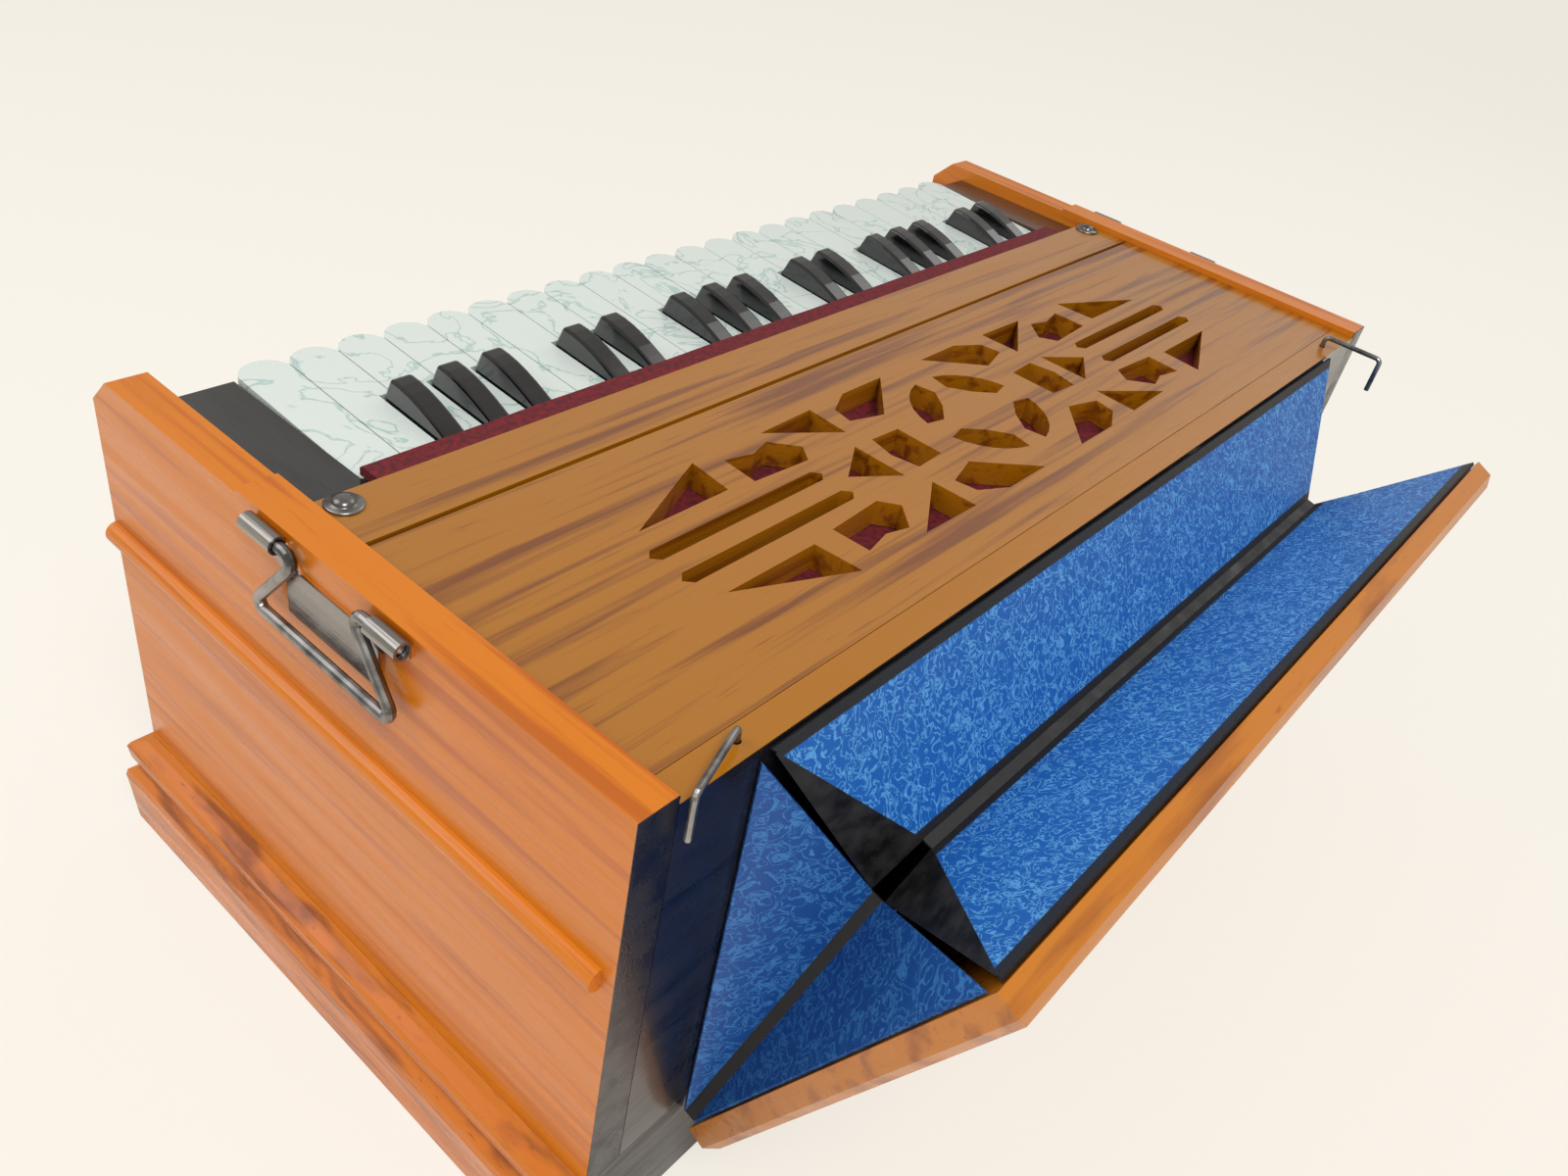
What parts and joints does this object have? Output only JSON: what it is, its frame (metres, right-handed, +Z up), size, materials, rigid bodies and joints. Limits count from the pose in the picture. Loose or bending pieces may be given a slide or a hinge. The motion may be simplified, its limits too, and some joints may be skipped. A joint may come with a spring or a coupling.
{
  "type": "harmonium",
  "caption": "Table-top hand-pumped harmonium with sprung keys, fretted wooden cover, hinged rear bellows and swinging carry handles.",
  "frame": {"origin": "centre of the base's underside", "axes": "+Z up, -Y towards the player, +X towards the treble end"},
  "size_m": [0.595, 0.4066, 0.2478],
  "materials": {
    "amber_wood": "varnished",
    "orange_varnish": "varnished",
    "dark_wood": "gloss",
    "white_celluloid": "gloss",
    "black_gloss": "gloss",
    "blue_cloth": "matt",
    "steel": "worn"
  },
  "bodies": {
    "case": {"base_plinth": "amber_wood", "cheek_treble": "orange_varnish", "cheek_bass": "orange_varnish", "front_board": "amber_wood", "rear_board": "amber_wood", "top_cover": "amber_wood", "key_rail": "amber_wood", "reed_board": "amber_wood", "key_block_treble": "dark_wood", "key_block_bass": "dark_wood"},
    "white_key_01": {"white_key_01": "white_celluloid"},
    "white_key_02": {"white_key_02": "white_celluloid"},
    "white_key_03": {"white_key_03": "white_celluloid"},
    "white_key_04": {"white_key_04": "white_celluloid"},
    "white_key_05": {"white_key_05": "white_celluloid"},
    "white_key_06": {"white_key_06": "white_celluloid"},
    "white_key_07": {"white_key_07": "white_celluloid"},
    "white_key_08": {"white_key_08": "white_celluloid"},
    "white_key_09": {"white_key_09": "white_celluloid"},
    "white_key_10": {"white_key_10": "white_celluloid"},
    "white_key_11": {"white_key_11": "white_celluloid"},
    "white_key_12": {"white_key_12": "white_celluloid"},
    "white_key_13": {"white_key_13": "white_celluloid"},
    "white_key_14": {"white_key_14": "white_celluloid"},
    "white_key_15": {"white_key_15": "white_celluloid"},
    "white_key_16": {"white_key_16": "white_celluloid"},
    "white_key_17": {"white_key_17": "white_celluloid"},
    "white_key_18": {"white_key_18": "white_celluloid"},
    "white_key_19": {"white_key_19": "white_celluloid"},
    "white_key_20": {"white_key_20": "white_celluloid"},
    "white_key_21": {"white_key_21": "white_celluloid"},
    "white_key_22": {"white_key_22": "white_celluloid"},
    "black_key_01": {"black_key_01": "black_gloss"},
    "black_key_02": {"black_key_02": "black_gloss"},
    "black_key_03": {"black_key_03": "black_gloss"},
    "black_key_04": {"black_key_04": "black_gloss"},
    "black_key_05": {"black_key_05": "black_gloss"},
    "black_key_06": {"black_key_06": "black_gloss"},
    "black_key_07": {"black_key_07": "black_gloss"},
    "black_key_08": {"black_key_08": "black_gloss"},
    "black_key_09": {"black_key_09": "black_gloss"},
    "black_key_10": {"black_key_10": "black_gloss"},
    "black_key_11": {"black_key_11": "black_gloss"},
    "black_key_12": {"black_key_12": "black_gloss"},
    "black_key_13": {"black_key_13": "black_gloss"},
    "black_key_14": {"black_key_14": "black_gloss"},
    "black_key_15": {"black_key_15": "black_gloss"},
    "bellows_board": {"bellows_board": "amber_wood"},
    "rib_top_case": {"rib_top_case": "blue_cloth"},
    "rib_top_board": {"rib_top_board": "blue_cloth"},
    "rib_end_case_treble": {"rib_end_case_treble": "blue_cloth"},
    "rib_end_case_bass": {"rib_end_case_bass": "blue_cloth"},
    "rib_end_board_treble": {"rib_end_board_treble": "blue_cloth"},
    "rib_end_board_bass": {"rib_end_board_bass": "blue_cloth"},
    "hook_treble": {"hook_treble": "steel"},
    "hook_bass": {"hook_bass": "steel"},
    "handle_treble": {"handle_treble": "steel"},
    "handle_bass": {"handle_bass": "steel"},
    "stop_knob_treble": {"stop_knob_treble": "white_celluloid"},
    "stop_knob_bass": {"stop_knob_bass": "white_celluloid"}
  },
  "joints": [
    {"name": "white_key_01_press", "type": "hinge", "parent": "case", "child": "white_key_01", "pos_m": [0, -0.015, 0.208], "axis": [1, 0, 0], "range_deg": [0, 3.5], "stiffness_Nm_per_rad": 2, "springref_deg": -5.73},
    {"name": "white_key_02_press", "type": "hinge", "parent": "case", "child": "white_key_02", "pos_m": [0, -0.015, 0.208], "axis": [1, 0, 0], "range_deg": [0, 3.5], "stiffness_Nm_per_rad": 2, "springref_deg": -5.73},
    {"name": "white_key_03_press", "type": "hinge", "parent": "case", "child": "white_key_03", "pos_m": [0, -0.015, 0.208], "axis": [1, 0, 0], "range_deg": [0, 3.5], "stiffness_Nm_per_rad": 2, "springref_deg": -5.73},
    {"name": "white_key_04_press", "type": "hinge", "parent": "case", "child": "white_key_04", "pos_m": [0, -0.015, 0.208], "axis": [1, 0, 0], "range_deg": [0, 3.5], "stiffness_Nm_per_rad": 2, "springref_deg": -5.73},
    {"name": "white_key_05_press", "type": "hinge", "parent": "case", "child": "white_key_05", "pos_m": [0, -0.015, 0.208], "axis": [1, 0, 0], "range_deg": [0, 3.5], "stiffness_Nm_per_rad": 2, "springref_deg": -5.73},
    {"name": "white_key_06_press", "type": "hinge", "parent": "case", "child": "white_key_06", "pos_m": [0, -0.015, 0.208], "axis": [1, 0, 0], "range_deg": [0, 3.5], "stiffness_Nm_per_rad": 2, "springref_deg": -5.73},
    {"name": "white_key_07_press", "type": "hinge", "parent": "case", "child": "white_key_07", "pos_m": [0, -0.015, 0.208], "axis": [1, 0, 0], "range_deg": [0, 3.5], "stiffness_Nm_per_rad": 2, "springref_deg": -5.73},
    {"name": "white_key_08_press", "type": "hinge", "parent": "case", "child": "white_key_08", "pos_m": [0, -0.015, 0.208], "axis": [1, 0, 0], "range_deg": [0, 3.5], "stiffness_Nm_per_rad": 2, "springref_deg": -5.73},
    {"name": "white_key_09_press", "type": "hinge", "parent": "case", "child": "white_key_09", "pos_m": [0, -0.015, 0.208], "axis": [1, 0, 0], "range_deg": [0, 3.5], "stiffness_Nm_per_rad": 2, "springref_deg": -5.73},
    {"name": "white_key_10_press", "type": "hinge", "parent": "case", "child": "white_key_10", "pos_m": [0, -0.015, 0.208], "axis": [1, 0, 0], "range_deg": [0, 3.5], "stiffness_Nm_per_rad": 2, "springref_deg": -5.73},
    {"name": "white_key_11_press", "type": "hinge", "parent": "case", "child": "white_key_11", "pos_m": [0, -0.015, 0.208], "axis": [1, 0, 0], "range_deg": [0, 3.5], "stiffness_Nm_per_rad": 2, "springref_deg": -5.73},
    {"name": "white_key_12_press", "type": "hinge", "parent": "case", "child": "white_key_12", "pos_m": [0, -0.015, 0.208], "axis": [1, 0, 0], "range_deg": [0, 3.5], "stiffness_Nm_per_rad": 2, "springref_deg": -5.73},
    {"name": "white_key_13_press", "type": "hinge", "parent": "case", "child": "white_key_13", "pos_m": [0, -0.015, 0.208], "axis": [1, 0, 0], "range_deg": [0, 3.5], "stiffness_Nm_per_rad": 2, "springref_deg": -5.73},
    {"name": "white_key_14_press", "type": "hinge", "parent": "case", "child": "white_key_14", "pos_m": [0, -0.015, 0.208], "axis": [1, 0, 0], "range_deg": [0, 3.5], "stiffness_Nm_per_rad": 2, "springref_deg": -5.73},
    {"name": "white_key_15_press", "type": "hinge", "parent": "case", "child": "white_key_15", "pos_m": [0, -0.015, 0.208], "axis": [1, 0, 0], "range_deg": [0, 3.5], "stiffness_Nm_per_rad": 2, "springref_deg": -5.73},
    {"name": "white_key_16_press", "type": "hinge", "parent": "case", "child": "white_key_16", "pos_m": [0, -0.015, 0.208], "axis": [1, 0, 0], "range_deg": [0, 3.5], "stiffness_Nm_per_rad": 2, "springref_deg": -5.73},
    {"name": "white_key_17_press", "type": "hinge", "parent": "case", "child": "white_key_17", "pos_m": [0, -0.015, 0.208], "axis": [1, 0, 0], "range_deg": [0, 3.5], "stiffness_Nm_per_rad": 2, "springref_deg": -5.73},
    {"name": "white_key_18_press", "type": "hinge", "parent": "case", "child": "white_key_18", "pos_m": [0, -0.015, 0.208], "axis": [1, 0, 0], "range_deg": [0, 3.5], "stiffness_Nm_per_rad": 2, "springref_deg": -5.73},
    {"name": "white_key_19_press", "type": "hinge", "parent": "case", "child": "white_key_19", "pos_m": [0, -0.015, 0.208], "axis": [1, 0, 0], "range_deg": [0, 3.5], "stiffness_Nm_per_rad": 2, "springref_deg": -5.73},
    {"name": "white_key_20_press", "type": "hinge", "parent": "case", "child": "white_key_20", "pos_m": [0, -0.015, 0.208], "axis": [1, 0, 0], "range_deg": [0, 3.5], "stiffness_Nm_per_rad": 2, "springref_deg": -5.73},
    {"name": "white_key_21_press", "type": "hinge", "parent": "case", "child": "white_key_21", "pos_m": [0, -0.015, 0.208], "axis": [1, 0, 0], "range_deg": [0, 3.5], "stiffness_Nm_per_rad": 2, "springref_deg": -5.73},
    {"name": "white_key_22_press", "type": "hinge", "parent": "case", "child": "white_key_22", "pos_m": [0, -0.015, 0.208], "axis": [1, 0, 0], "range_deg": [0, 3.5], "stiffness_Nm_per_rad": 2, "springref_deg": -5.73},
    {"name": "black_key_01_press", "type": "hinge", "parent": "case", "child": "black_key_01", "pos_m": [0, -0.015, 0.208], "axis": [1, 0, 0], "range_deg": [0, 3.5], "stiffness_Nm_per_rad": 2, "springref_deg": -5.73},
    {"name": "black_key_02_press", "type": "hinge", "parent": "case", "child": "black_key_02", "pos_m": [0, -0.015, 0.208], "axis": [1, 0, 0], "range_deg": [0, 3.5], "stiffness_Nm_per_rad": 2, "springref_deg": -5.73},
    {"name": "black_key_03_press", "type": "hinge", "parent": "case", "child": "black_key_03", "pos_m": [0, -0.015, 0.208], "axis": [1, 0, 0], "range_deg": [0, 3.5], "stiffness_Nm_per_rad": 2, "springref_deg": -5.73},
    {"name": "black_key_04_press", "type": "hinge", "parent": "case", "child": "black_key_04", "pos_m": [0, -0.015, 0.208], "axis": [1, 0, 0], "range_deg": [0, 3.5], "stiffness_Nm_per_rad": 2, "springref_deg": -5.73},
    {"name": "black_key_05_press", "type": "hinge", "parent": "case", "child": "black_key_05", "pos_m": [0, -0.015, 0.208], "axis": [1, 0, 0], "range_deg": [0, 3.5], "stiffness_Nm_per_rad": 2, "springref_deg": -5.73},
    {"name": "black_key_06_press", "type": "hinge", "parent": "case", "child": "black_key_06", "pos_m": [0, -0.015, 0.208], "axis": [1, 0, 0], "range_deg": [0, 3.5], "stiffness_Nm_per_rad": 2, "springref_deg": -5.73},
    {"name": "black_key_07_press", "type": "hinge", "parent": "case", "child": "black_key_07", "pos_m": [0, -0.015, 0.208], "axis": [1, 0, 0], "range_deg": [0, 3.5], "stiffness_Nm_per_rad": 2, "springref_deg": -5.73},
    {"name": "black_key_08_press", "type": "hinge", "parent": "case", "child": "black_key_08", "pos_m": [0, -0.015, 0.208], "axis": [1, 0, 0], "range_deg": [0, 3.5], "stiffness_Nm_per_rad": 2, "springref_deg": -5.73},
    {"name": "black_key_09_press", "type": "hinge", "parent": "case", "child": "black_key_09", "pos_m": [0, -0.015, 0.208], "axis": [1, 0, 0], "range_deg": [0, 3.5], "stiffness_Nm_per_rad": 2, "springref_deg": -5.73},
    {"name": "black_key_10_press", "type": "hinge", "parent": "case", "child": "black_key_10", "pos_m": [0, -0.015, 0.208], "axis": [1, 0, 0], "range_deg": [0, 3.5], "stiffness_Nm_per_rad": 2, "springref_deg": -5.73},
    {"name": "black_key_11_press", "type": "hinge", "parent": "case", "child": "black_key_11", "pos_m": [0, -0.015, 0.208], "axis": [1, 0, 0], "range_deg": [0, 3.5], "stiffness_Nm_per_rad": 2, "springref_deg": -5.73},
    {"name": "black_key_12_press", "type": "hinge", "parent": "case", "child": "black_key_12", "pos_m": [0, -0.015, 0.208], "axis": [1, 0, 0], "range_deg": [0, 3.5], "stiffness_Nm_per_rad": 2, "springref_deg": -5.73},
    {"name": "black_key_13_press", "type": "hinge", "parent": "case", "child": "black_key_13", "pos_m": [0, -0.015, 0.208], "axis": [1, 0, 0], "range_deg": [0, 3.5], "stiffness_Nm_per_rad": 2, "springref_deg": -5.73},
    {"name": "black_key_14_press", "type": "hinge", "parent": "case", "child": "black_key_14", "pos_m": [0, -0.015, 0.208], "axis": [1, 0, 0], "range_deg": [0, 3.5], "stiffness_Nm_per_rad": 2, "springref_deg": -5.73},
    {"name": "black_key_15_press", "type": "hinge", "parent": "case", "child": "black_key_15", "pos_m": [0, -0.015, 0.208], "axis": [1, 0, 0], "range_deg": [0, 3.5], "stiffness_Nm_per_rad": 2, "springref_deg": -5.73},
    {"name": "bellows", "type": "hinge", "parent": "case", "child": "bellows_board", "pos_m": [0, 0.1497, 0.045], "axis": [-1, 0, 0], "range_deg": [-25.5, 0]},
    {"name": "rib_top_case_fold", "type": "hinge", "parent": "case", "child": "rib_top_case", "pos_m": [0, 0.1468, 0.239], "axis": [1, 0, 0], "range_deg": [-31.2, 0.2]},
    {"name": "rib_top_board_fold", "type": "hinge", "parent": "bellows_board", "child": "rib_top_board", "pos_m": [0, 0.23584, 0.21885], "axis": [-1, 0, 0], "range_deg": [-31.2, 0.2]},
    {"name": "rib_end_case_treble_fold", "type": "hinge", "parent": "case", "child": "rib_end_case_treble", "pos_m": [0.236, 0.1468, 0.045], "axis": [0, 0, -1], "range_deg": [-35.5, 0.2]},
    {"name": "rib_end_board_treble_fold", "type": "hinge", "parent": "bellows_board", "child": "rib_end_board_treble", "pos_m": [0.236, 0.15232, 0.04375], "axis": [0, 0.4305, 0.9026], "range_deg": [-35.5, 0.2]},
    {"name": "rib_end_case_bass_fold", "type": "hinge", "parent": "case", "child": "rib_end_case_bass", "pos_m": [-0.236, 0.1468, 0.045], "axis": [0, 0, 1], "range_deg": [-35.5, 0.2]},
    {"name": "rib_end_board_bass_fold", "type": "hinge", "parent": "bellows_board", "child": "rib_end_board_bass", "pos_m": [-0.236, 0.15232, 0.04375], "axis": [0, -0.4305, -0.9026], "range_deg": [-35.5, 0.2]},
    {"name": "hook_treble_swing", "type": "hinge", "parent": "case", "child": "hook_treble", "pos_m": [0.24, 0.139, 0.2465], "axis": [0, 0, 1], "range_deg": [0, 70]},
    {"name": "handle_treble_swing", "type": "hinge", "parent": "case", "child": "handle_treble", "pos_m": [0.2901, 0, 0.24], "axis": [0, -1, 0], "range_deg": [0, 110]},
    {"name": "stop_knob_treble_pull", "type": "slide", "parent": "case", "child": "stop_knob_treble", "axis": [0, -1, 0], "range_m": [0, 0.02]},
    {"name": "hook_bass_swing", "type": "hinge", "parent": "case", "child": "hook_bass", "pos_m": [-0.24, 0.139, 0.2465], "axis": [0, 0, 1], "range_deg": [0, 70]},
    {"name": "handle_bass_swing", "type": "hinge", "parent": "case", "child": "handle_bass", "pos_m": [-0.2901, 0, 0.24], "axis": [0, 1, 0], "range_deg": [0, 110]},
    {"name": "stop_knob_bass_pull", "type": "slide", "parent": "case", "child": "stop_knob_bass", "axis": [0, -1, 0], "range_m": [0, 0.02]}
  ],
  "couplings": [
    {"joint": "rib_top_case_fold", "follows": "bellows", "ratio": 1.2157},
    {"joint": "rib_top_board_fold", "follows": "bellows", "ratio": 1.2157},
    {"joint": "rib_end_case_treble_fold", "follows": "bellows", "ratio": 1.3843},
    {"joint": "rib_end_board_treble_fold", "follows": "bellows", "ratio": 1.3843},
    {"joint": "rib_end_case_bass_fold", "follows": "bellows", "ratio": 1.3843},
    {"joint": "rib_end_board_bass_fold", "follows": "bellows", "ratio": 1.3843}
  ]
}
